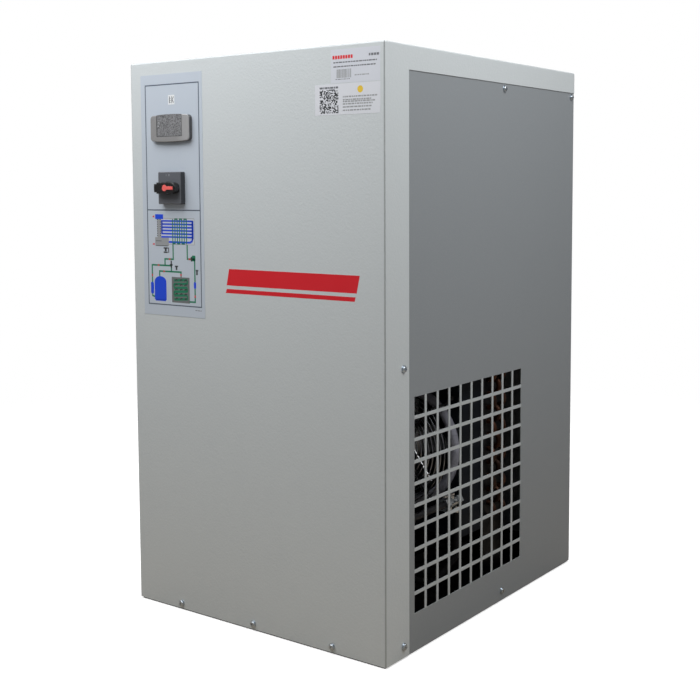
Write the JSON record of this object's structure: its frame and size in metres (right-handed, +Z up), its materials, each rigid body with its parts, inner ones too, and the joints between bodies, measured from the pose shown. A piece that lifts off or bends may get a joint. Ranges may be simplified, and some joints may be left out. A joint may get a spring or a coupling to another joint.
{
  "type": "refrigerated air dryer",
  "caption": "Floor-standing refrigerated compressed-air dryer: sheet-metal cabinet with front controls, a side grille, and its cooling circuit inside.",
  "frame": {"origin": "centre of the footprint, on the underside of the base pan", "axes": "+Z up, +X to the right as seen from the front, +Y to the rear"},
  "size_m": [0.5636, 0.7045, 0.975],
  "materials": {
    "cover_paint": "fine orange-peel satin",
    "panel_paint": "fine textured satin",
    "galvanised": "galvanised sheet",
    "zinc": "bright zinc",
    "overlay_film": "printed film",
    "label_film": "printed film",
    "bezel_plastic": "fine grain",
    "window_plastic": "smoked",
    "key_plastic": "satin",
    "dark_plastic": "fine grain",
    "handle_plastic": "satin",
    "red_plastic": "satin",
    "shaft_steel": "turned",
    "tray_plastic": "satin",
    "terminal_plastic": "satin",
    "fin_aluminium": "finned",
    "copper": "drawn copper tube",
    "brass_body": "machined",
    "motor_paint": "satin",
    "fan_aluminium": "pressed",
    "compressor_paint": "satin black",
    "rubber": "moulded",
    "iron": "machined",
    "foam": "closed-cell foam",
    "port_steel": "zinc plated",
    "coil_plastic": "moulded",
    "hose": "smooth"
  },
  "bodies": {
    "cabinet": {"base_pan": "galvanised", "front_top_cover": "cover_paint", "right_side_panel": "panel_paint", "left_side_panel": "panel_paint", "rear_panel": "panel_paint", "front_posts": "galvanised", "rear_posts": "galvanised", "shelf_plate": "galvanised", "cabinet_screws": "zinc", "control_overlay": "overlay_film", "cabinet_labels": "label_film", "controller_bezel": "bezel_plastic", "controller_window": "window_plastic", "controller_case": "dark_plastic", "switch_plate": "dark_plastic", "switch_body": "tray_plastic", "electric_box": "galvanised", "terminal_block": "terminal_plastic", "condenser_core": "fin_aluminium", "condenser_end_plates": "galvanised", "condenser_bends": "copper", "fan_shroud": "galvanised", "fan_guard": "zinc", "fan_motor": "motor_paint", "compressor_lower_shell": "compressor_paint", "compressor_upper_shell": "compressor_paint", "compressor_grommets": "rubber", "compressor_bolts": "zinc", "compressor_terminal_cover": "dark_plastic", "compressor_stator_block": "iron", "exchanger_core": "fin_aluminium", "exchanger_jacket": "foam", "air_inlet_pipe": "port_steel", "air_outlet_pipe": "port_steel", "accumulator": "compressor_paint", "suction_line": "foam", "discharge_line": "copper", "pressure_switches": "brass_body", "liquid_line": "copper", "filter_drier": "copper", "capillary_tube": "copper", "bypass_valve": "brass_body", "drain_tube": "hose", "drain_valve_body": "port_steel", "solenoid_body": "brass_body", "solenoid_coil": "coil_plastic", "drain_hoses": "hose", "drain_outlet": "brass_body", "cable_gland": "dark_plastic", "wiring_harness": "hose"},
    "fan": {"fan_blade": "fan_aluminium", "fan_shaft": "shaft_steel"},
    "switch_knob": {"switch_handle": "handle_plastic", "switch_shaft": "shaft_steel"},
    "padlock_slide": {"switch_padlock_slide": "red_plastic"},
    "set_key": {"controller_set_key": "key_plastic"},
    "test_key": {"controller_test_key": "key_plastic"},
    "drain_lever": {"drain_valve_lever": "shaft_steel"},
    "plunger": {"solenoid_plunger": "shaft_steel"},
    "crankshaft": {"compressor_rotor": "iron"}
  },
  "joints": [
    {"name": "fan_spin", "type": "hinge", "parent": "cabinet", "child": "fan", "pos_m": [0.14, -0.0675, 0.294], "axis": [0, 1, 0], "continuous": true},
    {"name": "switch_turn", "type": "hinge", "parent": "cabinet", "child": "switch_knob", "pos_m": [-0.1728, -0.3225, 0.7545], "axis": [0, 1, 0], "range_deg": [0, 90]},
    {"name": "padlock_pull", "type": "slide", "parent": "switch_knob", "child": "padlock_slide", "axis": [0, -1, 0], "range_m": [0, 0.005]},
    {"name": "set_key_press", "type": "slide", "parent": "cabinet", "child": "set_key", "axis": [0, 1, 0], "range_m": [0, 0.0008], "stiffness_N_per_m": 500, "springref_m": -0.0005},
    {"name": "test_key_press", "type": "slide", "parent": "cabinet", "child": "test_key", "axis": [0, 1, 0], "range_m": [0, 0.0008], "stiffness_N_per_m": 500, "springref_m": -0.0005},
    {"name": "drain_lever_turn", "type": "hinge", "parent": "cabinet", "child": "drain_lever", "pos_m": [0.25, -0.0865, 0.224], "axis": [0, 0, -1], "range_deg": [0, 90]},
    {"name": "plunger_lift", "type": "slide", "parent": "cabinet", "child": "plunger", "axis": [0, 0, 1], "range_m": [0, 0.003], "stiffness_N_per_m": 400, "springref_m": -0.002},
    {"name": "crankshaft_spin", "type": "hinge", "parent": "cabinet", "child": "crankshaft", "pos_m": [-0.14, 0.09, 0.12], "axis": [0, 0, 1], "continuous": true}
  ]
}
